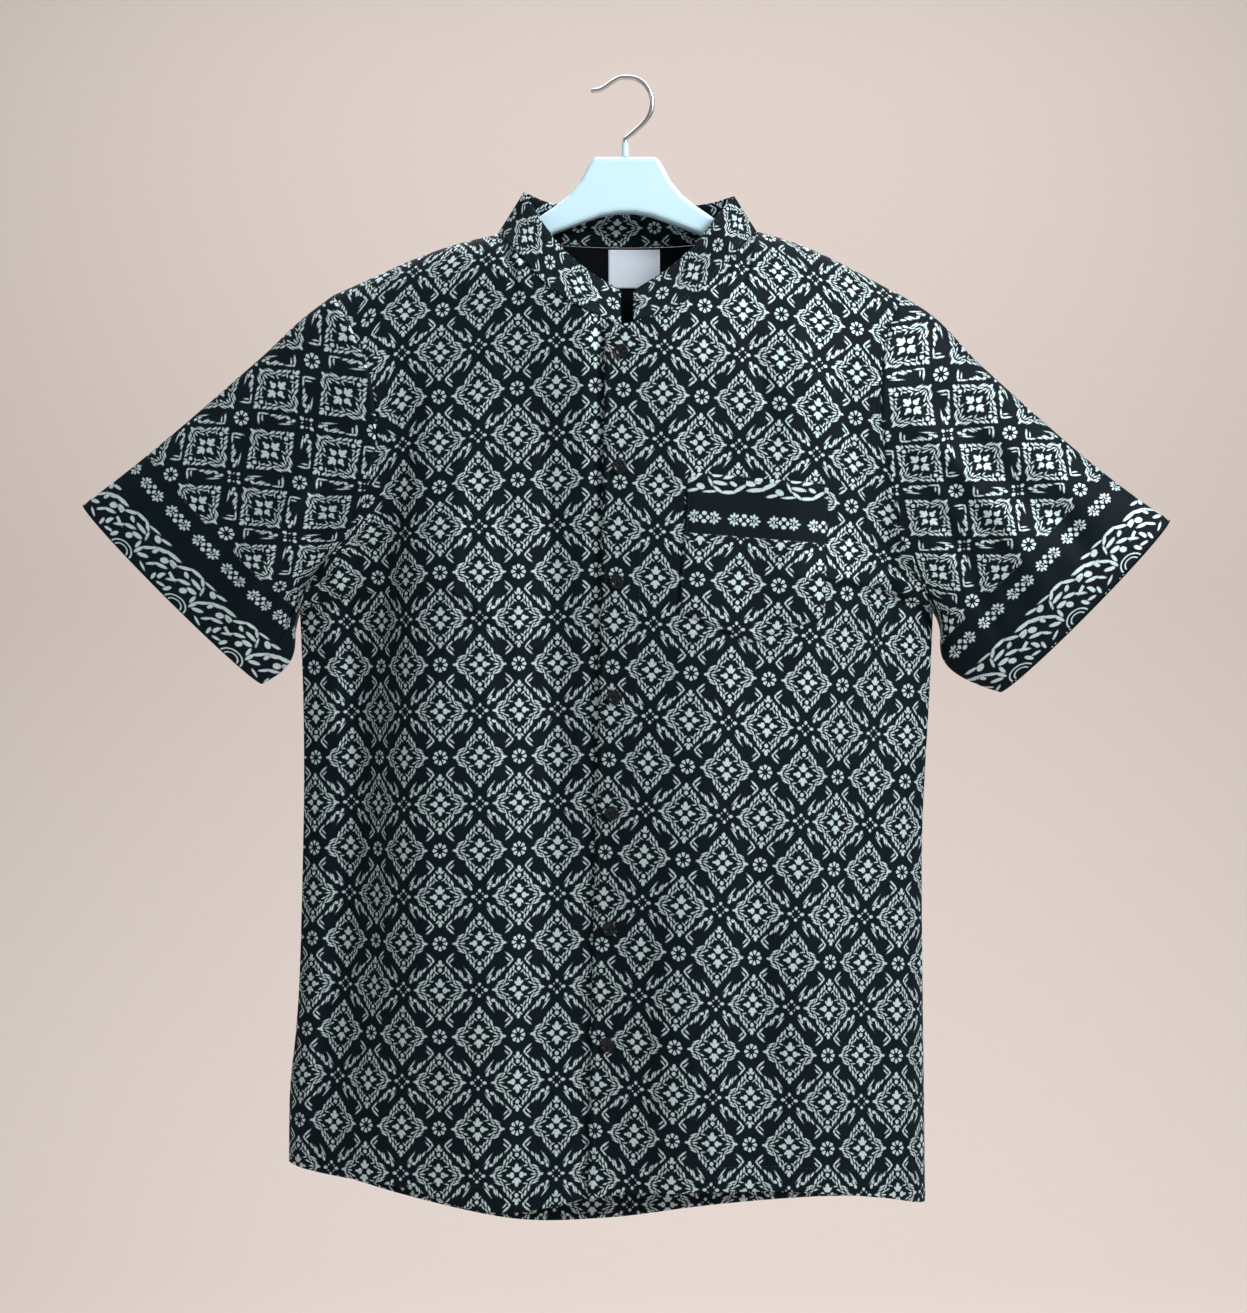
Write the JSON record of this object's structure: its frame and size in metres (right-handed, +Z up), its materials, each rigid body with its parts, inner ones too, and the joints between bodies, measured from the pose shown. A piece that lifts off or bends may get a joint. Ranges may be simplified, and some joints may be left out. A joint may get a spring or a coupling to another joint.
{
  "type": "mandarin collar shirt on hanger",
  "caption": "Short-sleeved mandarin collar shirt with a woven diamond pattern, buttoned up and hanging on a white hanger.",
  "frame": {"origin": "inner top of the hanger's hook, where the hanger hangs", "axes": "+Z up, -Y towards the viewer and the shirt's front, +X towards the wearer's left"},
  "size_m": [0.8555, 0.0923, 0.9075],
  "materials": {
    "patterned_cloth": "satin weave, black with a pale grey-blue pattern",
    "label_cloth": "plain white ribbon",
    "button_plastic": "polished",
    "white_plastic": "smooth, slightly shiny",
    "hook_wire": "plated wire"
  },
  "bodies": {
    "root": {"front_right": "patterned_cloth", "front_left": "patterned_cloth", "back": "patterned_cloth", "sleeve_right": "patterned_cloth", "sleeve_left": "patterned_cloth", "collar": "patterned_cloth", "pocket": "patterned_cloth", "label": "label_cloth", "button_1": "button_plastic", "button_2": "button_plastic", "button_3": "button_plastic", "button_4": "button_plastic", "button_5": "button_plastic", "button_6": "button_plastic", "button_7": "button_plastic", "hanger_body": "white_plastic", "hanger_ferrule": "white_plastic", "hanger_hook": "hook_wire"}
  },
  "joints": []
}
